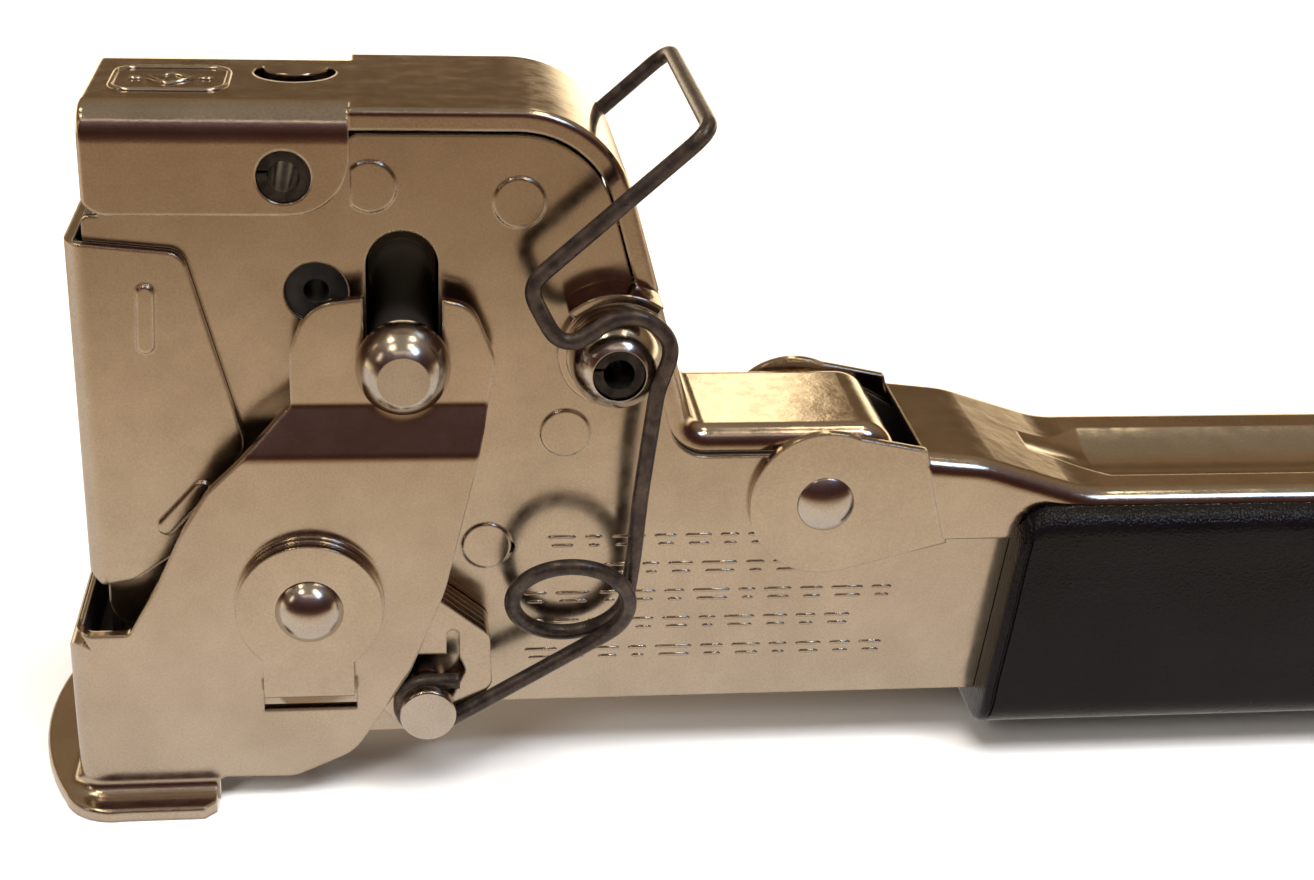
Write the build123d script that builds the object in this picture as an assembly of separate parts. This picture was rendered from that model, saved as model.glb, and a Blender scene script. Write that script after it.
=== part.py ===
"""Hammer tacker: a staple hammer with a sliding nose, a hinged magazine and a cushioned grip.

X runs from the nose foot back to the heel of the grip, Y across, Z up. The sole of the foot is z = 0.
Everything is drawn from the front, then moved so that the origin is under the middle of the tool.
"""

from build123d import *
import math
import os

os.makedirs("parts", exist_ok=True)

# ---- Driving dimensions, millimetres -------------------------------------------------
SOLE_FRONT_X = 3.4  # front edge of the nose foot
HEEL_X = 291.0  # rear end of the handle
MIDDLE_X = (SOLE_FRONT_X + HEEL_X) / 2

CROWN_WIDTH = 12.7  # half-inch staple crown
LEG_LENGTH = 8.0  # five-sixteenths staple leg
STROKE = 9.5  # how far the nose slides up when the tool strikes

CHANNEL_HALF, CHANNEL_SHEET = 10.8, 1.5  # head channel
PLATE_OUT, PLATE_IN = 12.0, 10.85  # side plates
CAP_HALF, CAP_SHEET = 13.5, 1.4  # wide top of the head, with flaps over the side plates
COVER_HALF, COVER_SHEET = 13.5, 1.3  # front cover
HANDLE_HALF, EAR_OUT, EAR_IN = 13.7, 13.3, 12.05  # handle channel and its ears
FORK_OUT, FORK_IN = 16.8, 15.3  # upper part of the nose jaw
JAW_OUT, JAW_IN = 19.9, 18.4  # lower part of the nose jaw
FOOT_HALF = 24.3
COVE = 1.6  # radius between the sole and the wall
SEAT_OUT, WASHER_OUT = 21.1, 22.3  # raised seat on the cheek, and the keyed washer on it

HEAD_TOP, PLATE_TOP, FLAP_PLATE_TOP = 87.7, 84.3, 83.8
SHOULDER_Z, RIM = 65.5, 2.5  # where the wide top ends, and how far its rim turns down
SHELF_TOP, HANDLE_PLATE_TOP = 46.1, 43.0  # top of the handle's front end, and its plates
REAR_SLOPE, REAR_X, REAR_Z = 0.29, 80.9, 66.7  # leaning rear face of the head, and a point on it
HANDLE_TOP, HANDLE_BOTTOM = 37.7, 8.5
SHELF_END_X = 113.5
COVER_FRONT_X = 11.8
COVER_RIBS = [((20.6, 59.2), (20.9, 65.6)), ((21.7, 35.4), (26.2, 40.4))]
PLATE_FRONT_X = 14.0
JAW_FRONT_X = 9.6

CAP_PIN = (37.2, 79.6)
BUMPER = (40.5, 65.1)
STUD = (50.6, 58.2)
BOSS = (76.0, 57.4)
CROSS_PIN = (39.0, 27.8)
SPRING_PIN = (53.2, 12.7)
EAR_RIVET = (103.7, 36.8)
COIL = (71.0, 26.4)
DIMPLES = [(47.0, 78.1), (64.4, 76.2), (70.4, 46.6), (60.8, 31.2)]
WIRE_RADIUS = 1.0
WIRE_Y = 19.5  # how far out the spring's arms lie

MAGAZINE_TILT = 6.5  # degrees, rising towards the heel
MAGAZINE_START = (16.0, 0.8)
MAGAZINE_LENGTH = 184.0
HINGE_ALONG, HINGE_UP = 178.0, 6.0
STRIP_LENGTH = 50.0

# ---- Helpers -------------------------------------------------------------------------


def corner(before, at, after, radius):
    """Start, middle and end of the arc that rounds a corner."""
    back, on = (before - at).normalized(), (after - at).normalized()
    half = math.radians(back.get_angle(on)) / 2
    inward = (back + on).normalized()
    reach = radius / math.tan(half)
    middle = at + inward * (radius / math.sin(half) - radius)
    return at + back * reach, middle, at + on * reach


def outline(points):
    """Closed face in the XZ plane. A point is (x, z), or (x, z, radius) for a rounded corner."""
    spots = [Vector(p[0], 0, p[1]) for p in points]
    edges, count = [], len(points)
    arcs = []
    for i, p in enumerate(points):
        if len(p) == 3:
            arcs.append(corner(spots[i - 1], spots[i], spots[(i + 1) % count], p[2]))
        else:
            arcs.append((spots[i], None, spots[i]))
    for i, (start, middle, end) in enumerate(arcs):
        if middle is not None:
            edges.append(Edge.make_three_point_arc(start, middle, end))
        after = arcs[(i + 1) % count][0]
        if (after - end).length > 1e-4:
            edges.append(Edge.make_line(end, after))
    return Face(Wire(edges))


def prism(points, y_low, y_high):
    """The outline as a slab between two distances across the tool."""
    face = Pos(0, y_low, 0) * outline(points)
    return extrude(face, amount=y_high - y_low, dir=(0, 1, 0))


def block(x, y, z):
    """A box between pairs of limits."""
    size = [b - a for a, b in (x, y, z)]
    middle = [(a + b) / 2 for a, b in (x, y, z)]
    return Pos(*middle) * Box(*size)


def rod(place, radius, y_low, y_high):
    """A round bar across the tool at (x, z)."""
    turn = Pos(place[0], (y_low + y_high) / 2, place[1]) * Rot(90, 0, 0)
    return turn * Cylinder(radius, y_high - y_low)


def slot(place, radius, rise, y_low, y_high):
    """An upright slot for a pin that slides up by rise."""
    x, z = place
    body = block((x - radius, x + radius), (y_low, y_high), (z, z + rise))
    return body + rod(place, radius, y_low, y_high) + rod((x, z + rise), radius, y_low, y_high)


def mirrored(shape):
    """The same piece on the other side."""
    return mirror(shape, about=Plane.XZ)


def both(shape):
    return [shape, mirrored(shape)]


def tube_along(points, radii):
    """Round wire along straight runs joined by arcs."""
    path = FilletPolyline(*points, radius=radii)
    return sweep(Plane(path @ 0, z_dir=path % 0) * Circle(WIRE_RADIUS), path=path)


def coiled_pin(place, radius, half_length):
    """A spiral spring pin: a thick-walled tube slit along its length."""
    x, z = place
    bore = 0.6 * radius
    pin = rod(place, radius, -half_length, half_length)
    pin -= rod(place, bore, -half_length - 1, half_length + 1)
    slit = block((x - radius - 1, x), (-half_length - 1, half_length + 1), (z + 0.4, z + 0.75))
    return pin - slit


def bead(start, end, radius, y_low, y_high):
    """A straight pressed rib with round ends between two spots, near side or far by its limits."""
    rise = (end[0] - start[0], end[1] - start[1])
    length, turn = math.hypot(*rise), math.degrees(math.atan2(rise[1], rise[0]))
    middle = ((start[0] + end[0]) / 2, (y_low + y_high) / 2, (start[1] + end[1]) / 2)
    bar = Pos(*middle) * Rot(0, -turn, 0) * Box(length, y_high - y_low, 2 * radius)
    rib = bar + rod(start, radius, y_low, y_high) + rod(end, radius, y_low, y_high)
    return fillet(rib.edges().group_by(Axis.Y)[-1], 0.6 * min(radius, y_high - COVER_HALF))


parts = {}

# ---- Head ----------------------------------------------------------------------------


def rear_x(z, inset=0.0):
    """Rear face of the head at a height, moved in by inset."""
    return REAR_X + REAR_SLOPE * (REAR_Z - z) - inset * math.hypot(1, REAR_SLOPE)


def head_region(inset, front, depth):
    """Head and shelf seen from the side, moved in by inset and closed far below the bend."""
    top, shelf, end = HEAD_TOP - inset, SHELF_TOP - inset, SHELF_END_X - inset
    return [
        (front, top),
        (rear_x(top, inset), top, 14.4 - inset),
        (rear_x(shelf, inset), shelf, 2.0 + inset),
        (end, shelf, 5.0 - inset),
        (end, 34 - depth),
        (82 - depth, 34 - depth),
        (62 - depth, 72 - depth),
        (front, 72 - depth),
    ]


def bent_block(points, half, radius):
    """A block across the tool with its long edges rounded as bent sheet is."""
    body = prism(points, -half, half)
    sides = body.edges().filter_by(lambda e: abs(abs(e.center().Y) - half) < 0.01)
    return fillet(sides, radius)


def wide_region(inset):
    """The wide top of the head seen from the side, down to the shoulder."""
    top, front = HEAD_TOP - inset, 14.3 + inset
    return [
        (front, 60),
        (front, top, 1.2),
        (rear_x(top, inset), top, 14.4 - inset),
        (rear_x(SHOULDER_Z, inset), SHOULDER_Z),
        (50, SHOULDER_Z),
        (50, 60),
    ]


def wide_top():
    """Roof of the head: flaps folded over the side plates in front, and a turned-down rim behind."""
    flap_end = 44.7
    outer = block((14.3, flap_end), (-CAP_HALF, CAP_HALF), (60, HEAD_TOP))
    outer = fillet(outer.edges().filter_by(Axis.X).group_by(Axis.Z)[-1], 4.2)
    outer = fillet(outer.edges().group_by(Axis.X)[0].filter_by(lambda e: e.center().Z > 61), 0.7)
    inner = block((14.3 + CAP_SHEET, 50), (-CAP_HALF + CAP_SHEET, CAP_HALF - CAP_SHEET),
                  (59, HEAD_TOP - CAP_SHEET))
    inner = fillet(inner.edges().filter_by(Axis.X).group_by(Axis.Z)[-1], 2.8)
    side = [(14.0, 75.0, 3.3), (flap_end, 75.0, 7.0), (flap_end, 95.0), (14.0, 95.0)]
    flaps = (outer - inner) & prism(side, -20, 20)
    roof = bent_block(wide_region(0), CAP_HALF, 0.9)
    roof -= prism(wide_region(CAP_SHEET), -CAP_HALF + CAP_SHEET, CAP_HALF - CAP_SHEET)
    roof -= prism(wide_region(RIM), -20, 20)
    roof &= block((flap_end, 100), (-20, 20), (SHOULDER_Z, 95))
    return flaps + roof


def spring_hood():
    """Curved lip bent out of the rim over the spring boss, far side."""
    x, z = BOSS
    hood = rod(BOSS, 9.1, 12.05, 17.1) - rod(BOSS, 7.9, 10, 20)
    reach = prism([(x, z), (x - 10.5, z + 12), (x + 1, z + 14), (x + 7.0, z + 9.6)], 10, 20)
    return hood & reach


def crescent():
    """Moon-shaped cut in the roof that opens towards the far side."""
    moon = Pos(38.1, 3.4, HEAD_TOP) * Cylinder(4.9, 6)
    return moon - Pos(38.1, 6.1, HEAD_TOP) * Cylinder(3.9, 8)


def head_channel():
    outer = bent_block(head_region(0, 5, 10), CHANNEL_HALF, 2.6)
    inner = bent_block(head_region(CHANNEL_SHEET, 4, 12), CHANNEL_HALF - CHANNEL_SHEET, 1.1)
    band = prism(head_region(-1, 50, 0), -20, 20) & block((50, 120), (-20, 20), (20, SHOULDER_Z + 0.5))
    channel = (outer - inner) & band
    channel += wide_top()
    for piece in both(spring_hood()):
        channel += piece
    channel -= crescent()
    channel -= slot(STUD, 4.4, STROKE + 0.7, -11, 11)
    channel -= rod(CAP_PIN, 3.15, -20, 20)
    for place, radius in ((BOSS, 3.6), (EAR_RIVET, 2.55)):
        channel -= rod(place, radius, -11, 11)
    return channel


def side_plate():
    outer = [
        (15.9, FLAP_PLATE_TOP, 1.0),
        (44.4, FLAP_PLATE_TOP),
        (45.4, PLATE_TOP),
        (rear_x(PLATE_TOP, 2.6), PLATE_TOP, 11.8),
        (rear_x(HANDLE_PLATE_TOP, 3), HANDLE_PLATE_TOP, 5.0),
        (112.0, HANDLE_PLATE_TOP, 2.0),
        (124.0, 36.0, 6.0),
        (HEEL_X - 4, 36.0, 3.0),
        (HEEL_X - 4, HANDLE_BOTTOM, 3.0),
        (62.0, HANDLE_BOTTOM, 4.0),
        (53.0, 4.5, 4.0),
        (38.0, 4.4, 3.0),
        (27.0, 20.4, 4.0),
        (PLATE_FRONT_X, 21.2, 3.2),
        (PLATE_FRONT_X, 74.4, 0.8),
        (15.9, 74.4),
    ]
    plate = prism(outer, PLATE_IN, PLATE_OUT)
    plate -= slot((STUD[0], STUD[1]), 4.3, STROKE + 0.7, 5, 20)
    plate -= slot(CROSS_PIN, 3.1, STROKE + 0.1, 5, 20)
    plate -= slot(SPRING_PIN, 2.3, STROKE + 0.1, 5, 20)
    for place, radius in ((CAP_PIN, 3.2), (BUMPER, 3.75), (BOSS, 3.6), (EAR_RIVET, 2.55)):
        plate -= rod(place, radius, 5, 20)
    plate -= rod((63.5, 30.9), 0.9, 5, 20)
    plate -= rod(HINGE, 2.5, 5, 20)
    for place in HEEL_RIVETS:
        plate -= rod(place, 2.0, 5, 20)
    for place in HOLDER_PINS:
        plate -= rod(place, 1.5, 5, 20)
    for place in DIMPLES:
        button = rod(place, 3.1, PLATE_OUT - 0.1, PLATE_OUT + 0.28)
        button = fillet(button.edges().group_by(Axis.Y)[-1], 0.22)
        plate += button & block((44.8, 90), (0, 20), (0, 90))
    return plate


def front_cover():
    x0, half, sheet = COVER_FRONT_X, COVER_HALF, COVER_SHEET
    outer = block((x0, 45), (-half, half), (10, 85))
    outer = fillet(outer.edges().filter_by(Axis.Z).group_by(Axis.X)[0], 2.6)
    inner = block((x0 + sheet, 46), (sheet - half, half - sheet), (9, 86))
    inner = fillet(inner.edges().filter_by(Axis.Z).group_by(Axis.X)[0], 1.3)
    side = [
        (x0 - 1, 71.8),
        (25.3, 70.4, 2.5),
        (31.6, 46.0, 3.0),
        (22.6, 31.6, 3.0),
        (17.4, 28.0, 3.0),
        (13.6, 27.3, 1.5),
        (x0 - 1, 29.8),
    ]
    cover = (outer - inner) & prism(side, -20, 20)
    for start, end in COVER_RIBS:
        for rib in both(bead(start, end, 1.05, half - 0.3, half + 0.5)):
            cover += rib
    return cover


# ---- Handle --------------------------------------------------------------------------
def magazine_place(along, up, across=0.0):
    """A spot on the tilted magazine, in the tool's frame."""
    tilt = math.radians(MAGAZINE_TILT)
    x = MAGAZINE_START[0] + along * math.cos(tilt) - up * math.sin(tilt)
    z = MAGAZINE_START[1] + along * math.sin(tilt) + up * math.cos(tilt)
    return (x, z)


HINGE = magazine_place(HINGE_ALONG, HINGE_UP)
HEEL_RIVETS = [(HEEL_X - 12, 14.0), (HEEL_X - 12, 28.0)]
HOLDER_PINS = [(24.0, 68.0), (24.0, 52.0)]


def handle_profile(inset, front):
    top = HANDLE_TOP - inset
    return [
        (front, 44.0 - inset),
        (124.5, 42.2 - inset, 14.0),
        (138.5, top, 16.0),
        (HEEL_X - inset, top, 4.0 - inset),
        (HEEL_X - inset, 20),
        (front, 20),
    ]


def dish(radius):
    """The long hollow pressed into the top of the handle."""
    centre = HANDLE_TOP + 14
    run = HEEL_X - 155
    barrel = Pos(143 + run / 2, 0, centre) * Rot(0, 90, 0) * Cylinder(radius, run)
    nose = Pos(138, 0, centre) * Rot(0, 90, 0) * Cone(radius - 3.4, radius, 10)
    tail = Pos(143 + run + 5, 0, centre) * Rot(0, 90, 0) * Cone(radius, radius - 3.4, 10)
    return barrel + nose + tail


def handle_channel():
    outer = bent_block(handle_profile(0, 108), HANDLE_HALF, 2.4)
    inner = bent_block(handle_profile(1.3, 107), HANDLE_HALF - 1.3, 1.1)
    shell = (outer - dish(16.0)) - (inner - dish(17.3))
    side = [(116.0, 60), (116.0, 44.2), (119.4, 31.7), (HEEL_X + 1, 31.7), (HEEL_X + 1, 60)]
    shell = shell & prism(side, -20, 20)
    x, z = EAR_RIVET
    ear = rod(EAR_RIVET, 9.8, EAR_IN, EAR_OUT)
    ear += prism([(x, z + 9.75), (116.3, 44.0), (120.0, 31.0), (x + 2.5, z - 9.5)], EAR_IN, EAR_OUT)
    ear -= rod(EAR_RIVET, 2.55, 5, 20)
    for piece in both(ear):
        shell += piece
    return shell


def ear_rivet():
    shank = rod(EAR_RIVET, 2.5, -EAR_OUT - 0.1, EAR_OUT + 0.1)
    ball = Pos(EAR_RIVET[0], -(EAR_OUT - 4.2), EAR_RIVET[1]) * Sphere(5.6)
    head = ball & block((80, 120), (-20, -EAR_OUT - 0.02), (20, 60))
    return shank + head + mirrored(head)


def handle_grip():
    side = [
        (129.4, 36.4, 1.0),
        (HEEL_X - 3, 36.4, 3.0),
        (HEEL_X - 3, 0.0, 5.0),
        (HEEL_X - 17, 0.0, 12.0),
        (HEEL_X - 34, 4.5, 30.0),
        (125.8, 4.5, 5.0),
    ]
    grip = prism(side, -17.2, 17.2)
    grip = fillet(grip.edges().filter_by(lambda e: abs(abs(e.center().Y) - 17.2) < 0.01), 3.4)
    grip -= block((100, HEEL_X - 3.4), (-12.1, 12.1), (HANDLE_BOTTOM - 0.1, 50))
    grip -= block((100, HEEL_X), (-13.8, 13.8), (31.6, 50))
    return grip


def heel_plug():
    plug = block((HEEL_X - 20, HEEL_X - 4.2), (-10.8, 10.8), (9.5, 34.0))
    plug = fillet(plug.edges().filter_by(Axis.Y), 2.0)
    for place in HEEL_RIVETS:
        plug -= rod(place, 2.0, -20, 20)
    return plug


# ---- Driver --------------------------------------------------------------------------
BLADE_X = (13.2, 14.2)
SCREW_HEIGHTS = (50.0, 66.0)


def driver_blade():
    tip = MAGAZINE_START[1] + 0.9 + LEG_LENGTH + 0.9
    half = CROWN_WIDTH / 2 - 0.05
    blade = block(BLADE_X, (-half, half), (tip, 72))
    for z in SCREW_HEIGHTS:
        blade -= Pos(13.7, 0, z) * Rot(0, 90, 0) * Cylinder(1.5, 4)
    return blade


def driver_holder():
    holder = block((BLADE_X[1] + 0.02, 33.0), (-9.2, 9.2), (44.0, 73.6))
    holder = fillet(holder.edges().filter_by(Axis.Y), 1.5)
    for place in HOLDER_PINS:
        holder -= rod(place, 1.5, -20, 20)
    for z in SCREW_HEIGHTS:
        holder -= Pos(16.5, 0, z) * Rot(0, 90, 0) * Cylinder(1.5, 6)
    return holder


def driver_screws():
    """Two short countersunk studs that hold the blade to its holder."""
    return [Pos(16.2, 0, z) * Rot(0, 90, 0) * Cylinder(1.45, 6) for z in SCREW_HEIGHTS]


# ---- Nose ----------------------------------------------------------------------------
def cheek_sheet():
    """Far cheek as bent sheet seen end on: it steps in from the wide jaw to the narrow fork."""
    section = [
        (JAW_IN, 0.0),
        (JAW_OUT, 0.0),
        (JAW_OUT, 47.0, 2.2),
        (FORK_OUT, 52.6, 1.3),
        (FORK_OUT, 75.0),
        (FORK_IN, 75.0),
        (FORK_IN, 52.0, 2.8),
        (JAW_IN, 46.4, 0.7),
    ]
    return extrude(Pos(13, 0, 0) * Rot(0, 0, 90) * outline(section), amount=60, dir=(1, 0, 0))


def nose_jaw():
    """One folded sheet: front wall, two cheeks that step in to a fork, and a flared foot."""
    thick = JAW_OUT - JAW_IN
    side = [
        (JAW_FRONT_X, 0.0),
        (JAW_FRONT_X, 27.6, 1.6),
        (11.6, 23.7, 2.2),
        (17.1, 23.7, 1.0),
        (20.9, 30.4, 5.0),
        (24.2, 37.6, 8.0),
        (27.4, 42.8, 4.0),
        (37.3, 52.6, 0.8),
        (37.3, 59.5, 4.0),
        (39.7, 65.2, 5.0),
        (48.0, 66.2),
        (53.0, 66.2, 0.5),
        (58.8, 65.0, 4.0),
        (61.6, 58.0, 4.0),
        (60.2, 50.0, 8.0),
        (55.4, 29.0, 20.0),
        (51.0, 17.5, 8.0),
        (44.0, 6.4, 6.0),
        (36.5, 3.0, 4.0),
        (27.0, 3.2, 1.0),
        (27.0, 0.0),
    ]
    outer = block((JAW_FRONT_X, 16), (-JAW_OUT, JAW_OUT), (0, 40))
    outer = fillet(outer.edges().filter_by(Axis.Z).group_by(Axis.X)[0], 3.2)
    inner = block((JAW_FRONT_X + thick, 17), (-JAW_IN, JAW_IN), (-1, 41))
    inner = fillet(inner.edges().filter_by(Axis.Z).group_by(Axis.X)[0], 1.7)
    jaw = outer - inner
    for cheek in both(cheek_sheet()):
        jaw += cheek
    jaw &= prism(side, -30, 30)
    for boss in both(rod(CROSS_PIN, 9.0, JAW_OUT - 0.2, SEAT_OUT)):
        jaw += boss
    jaw -= slot(STUD, 4.6, 20, -30, 30)
    jaw -= rod(CROSS_PIN, 3.05, -30, 30)
    jaw -= block((33.0, 44.4), (-30, 30), (12.7, 17.3))
    return jaw + foot_flange()


def foot_outline():
    """Sole seen from above: a bowed front edge, round front corners, square rear corners."""
    front = Edge.make_three_point_arc((8.0, -19.8, 0), (SOLE_FRONT_X, 0, 0), (8.0, 19.8, 0))
    edges = [front]
    for side in (1, -1):
        turn = ((8.0, side * 19.8, 0), (10.4, side * 23.1, 0), (15.6, side * FOOT_HALF, 0))
        edges.append(Edge.make_three_point_arc(*turn))
        edges.append(Edge.make_line(turn[2], (25.4, side * FOOT_HALF, 0)))
        edges.append(Edge.make_line((25.4, side * FOOT_HALF, 0), (26.8, side * 22.9, 0)))
    edges.append(Edge.make_line((26.8, -22.9, 0), (26.8, 22.9, 0)))
    return Face(Wire.combine(edges)[0])


def foot_flange():
    """The flared sole: a flat lip blended up into the wall by a cove."""
    lip = extrude(foot_outline(), amount=1.5, dir=(0, 0, 1))
    rim = lip.edges().group_by(Axis.Z)[-1].filter_by(lambda e: e.center().X < 26)
    lip = fillet(rim, 0.5)
    wall = block((JAW_FRONT_X, 26.8), (-JAW_OUT, JAW_OUT), (0, 8))
    wall = fillet(wall.edges().filter_by(Axis.Z).group_by(Axis.X)[0], 3.2)
    foot = lip + wall
    root = foot.edges().filter_by(lambda e: abs(e.center().Z - 1.5) < 0.01)
    root = root.filter_by(
        lambda e: e.center().X > JAW_FRONT_X - 0.01 and abs(e.center().Y) < JAW_OUT + 0.01
    )
    foot = fillet(root, COVE)
    inner = block((JAW_FRONT_X + JAW_OUT - JAW_IN, 40), (-JAW_IN, JAW_IN), (-5, 30))
    return foot - inner


def domed_knob(out):
    """Ball knob with a flat end, on the near side."""
    ball = Pos(STUD[0], -18.8, STUD[1]) * Sphere(5.6)
    return ball & block((30, 70), (-23.5, -out), (40, 75))


def knob_stud():
    return rod(STUD, 3.9, -17.4, 17.4) + domed_knob(17.0) + mirrored(domed_knob(17.0))


def dome_head(place, radius, start, height):
    """A domed rivet head on the near side."""
    ball_radius = (radius * radius + height * height) / (2 * height)
    ball = Pos(place[0], -(start + height - ball_radius), place[1]) * Sphere(ball_radius)
    return ball & rod(place, radius, -(start + height + 1), -start)


def cross_pin():
    pin = rod(CROSS_PIN, 3.0, -WASHER_OUT - 0.2, WASHER_OUT + 0.2)
    head = dome_head(CROSS_PIN, 4.1, WASHER_OUT + 0.1, 2.7)
    return pin + head + mirrored(head)


def keyed_washer():
    """Disc with a tongue that bends in through the cheek's slot, far side."""
    low = SEAT_OUT + 0.05
    disc = rod(CROSS_PIN, 8.8, low, WASHER_OUT)
    tongue = block((33.2, 44.2), (low, WASHER_OUT), (16.6, 24))
    turned = block((33.2, 44.2), (16.4, WASHER_OUT), (15.4, 16.8))
    turned = fillet(turned.edges().filter_by(Axis.X).group_by(Axis.Y)[-1].group_by(Axis.Z)[0], 1.2)
    return disc + tongue + turned - rod(CROSS_PIN, 3.02, 5, 30)


LATCH_OUTLINE = [
    (45.0, 30.0, 2.0),
    (52.6, 28.6, 1.0),
    (61.0, 21.8, 2.0),
    (61.3, 14.8, 1.5),
    (58.2, 10.4, 2.0),
    (50.0, 8.6, 3.0),
    (45.5, 14.0, 3.0),
]


LATCH_NOTCH = [
    (47.0, 19.2),
    (57.0, 19.2, 0.8),
    (58.0, 16.8, 1.0),
    (56.2, 13.0, 1.0),
    (50.0, 12.0),
]


def latch_plate(y_low, y_high, notched):
    """Two equal sheets side by side between the limits."""
    sheet = (y_high - y_low - 0.05) / 2
    plates = []
    for low in (y_low, y_high - sheet):
        plate = prism(LATCH_OUTLINE, low, low + sheet)
        plate -= rod(SPRING_PIN, 2.25, 5, 30)
        if notched:
            plate -= slot((56.4, 18.0), 0.8, 3.8, 5, 30)
            plate -= prism(LATCH_NOTCH, 5, 30)
        plates.append(plate)
    return plates


def spring_pin():
    """Short headed pin that the spring hooks round, on the far side."""
    pin = rod(SPRING_PIN, 2.2, 9.2, 21.0)
    head = rod(SPRING_PIN, 3.5, 20.8, 22.4)
    head = fillet(head.edges().group_by(Axis.Y)[-1], 0.35)
    return pin + head


def nose_guide():
    """Steel insert that steers the staple and blade down to the sole."""
    top = 16.0
    plate = block((JAW_FRONT_X + 1.55, 13.0), (-17.3, 17.3), (0.8, top))
    cheek = block((12.9, 22.0), (8.8, 10.4), (0.8, top))
    cheek = fillet(cheek.edges().filter_by(Axis.Y).group_by(Axis.Z)[-1].group_by(Axis.X)[-1], 3.5)
    cheek += block((12.9, 22.0), (10.3, 17.3), (0.8, 3.0))
    return plate + cheek + mirrored(cheek)


# ---- Springs and pins of the head ------------------------------------------------------
def spring_boss():
    """Domed anchor that the spring wraps, near side."""
    dome = Pos(BOSS[0], -15.6, BOSS[1]) * Sphere(5.6)
    dome = dome & block((60, 90), (-20.3, -14.3), (40, 75))
    waist = rod(BOSS, 4.6, -16.0, -14.2)
    spigot = rod(BOSS, 3.55, -14.3, -9.4)
    boss = dome + waist + spigot
    return boss - rod(BOSS, 3.2, -30, 0)


def spring_collar():
    """Stepped washer under the boss, near side."""
    wide = rod(BOSS, 6.8, -13.2, -PLATE_OUT - 0.02)
    return wide + rod(BOSS, 5.8, -14.15, -13.1) - rod(BOSS, 3.6, -30, 0)


def stop_bumper():
    tube = rod(BUMPER, 3.7, -11.4, 11.4)
    return tube - rod(BUMPER, 1.5, -20, 20)


def return_spring():
    """Double torsion spring: hook, coil, arm over the boss, then a bail across the head."""
    x, z = COIL
    near = []
    ring = Pos(x, -18.5, z) * Rot(90 + 24, 0, 0) * Torus(7.3, WIRE_RADIUS)
    near.append(ring)
    hook = [
        (57.2, -WIRE_Y, 16.0),
        (49.8, -WIRE_Y, 16.0),
        (49.8, -WIRE_Y, 9.4),
        (54.5, -WIRE_Y, 9.4),
        (64.0, -WIRE_Y, 14.4),
        (72.5, -15.7, 19.7),
    ]
    near.append(tube_along(hook, [3.2, 3.2, 4.0, 12.0]))
    arm = [
        (78.2, -19.2, 26.0),
        (79.2, -WIRE_Y, 40.0),
        (80.6, -WIRE_Y, 55.0),
        (82.6, -WIRE_Y, 61.2),
        (77.6, -WIRE_Y, 66.2),
        (69.2, -WIRE_Y, 60.2),
        (64.9, -WIRE_Y, 68.4),
        (85.6, -WIRE_Y, 87.2),
        (85.6, WIRE_Y, 87.2),
        (64.9, WIRE_Y, 68.4),
        (69.2, WIRE_Y, 60.2),
        (77.6, WIRE_Y, 66.2),
        (82.6, WIRE_Y, 61.2),
        (80.6, WIRE_Y, 55.0),
        (79.2, WIRE_Y, 40.0),
        (78.2, 19.2, 26.0),
    ]
    bends = [30.0, 8.0, 3.6, 5.0, 2.6, 2.6, 2.4]
    bail = tube_along(arm, bends + bends[::-1])
    spring = near[0] + near[1]
    return spring + bail + mirrored(spring)


# ---- Magazine --------------------------------------------------------------------------
def on_magazine(shape):
    """Moves a piece drawn along the magazine's own axes into the tool."""
    return Pos(MAGAZINE_START[0], 0, MAGAZINE_START[1]) * Rot(0, -MAGAZINE_TILT, 0) * shape


def magazine_channel():
    body = block((0, MAGAZINE_LENGTH), (-7.8, 7.8), (0, 11.0))
    body -= block((-1, MAGAZINE_LENGTH + 1), (-6.9, 6.9), (0.8, 12.0))
    body -= block((60, 172), (-1.6, 1.6), (-1, 2))
    body -= Pos(HINGE_ALONG, 0, HINGE_UP) * Rot(90, 0, 0) * Cylinder(2.55, 30)
    return on_magazine(body)


def staple_rail():
    return on_magazine(block((0.3, 170.0), (-5.7, -1.8), (0.82, 8.2)) + block(
        (0.3, 170.0), (1.8, 5.7), (0.82, 8.2)) + block((0.3, 170.0), (-5.7, 5.7), (7.2, 8.2)))


def staple_strip():
    top = 0.9 + LEG_LENGTH
    half = CROWN_WIDTH / 2
    strip = block((0.3, STRIP_LENGTH), (-half, half), (0.9, top))
    strip -= block((0, STRIP_LENGTH + 1), (-half + 0.55, half - 0.55), (0, top - 0.6))
    return on_magazine(strip)


def staple_follower():
    body = block((STRIP_LENGTH + 0.3, STRIP_LENGTH + 14), (-6.5, 6.5), (1.0, 10.4))
    body -= block((0, 100), (-5.85, 5.85), (0, 8.4))
    web = block((STRIP_LENGTH + 11.5, STRIP_LENGTH + 13.5), (-1.4, 1.4), (-2.6, 6.9))
    return on_magazine(body), on_magazine(web)


def follower_spring():
    """Light coil that pushes the follower forward, along the top of the rail."""
    start, end, turns = STRIP_LENGTH + 14.5, 169.0, 26
    helix = Helix(pitch=(end - start) / turns, height=end - start, radius=1.5)
    profile = Plane(helix @ 0, z_dir=helix % 0) * Circle(0.3)
    coil = sweep(profile, path=helix, is_frenet=True)
    return on_magazine(Pos(start, 0, 10.4) * Rot(0, 90, 0) * coil)


def end_block():
    body = block((170.2, 174.0), (-6.8, 6.8), (0.85, 12.6))
    return on_magazine(body)


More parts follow.
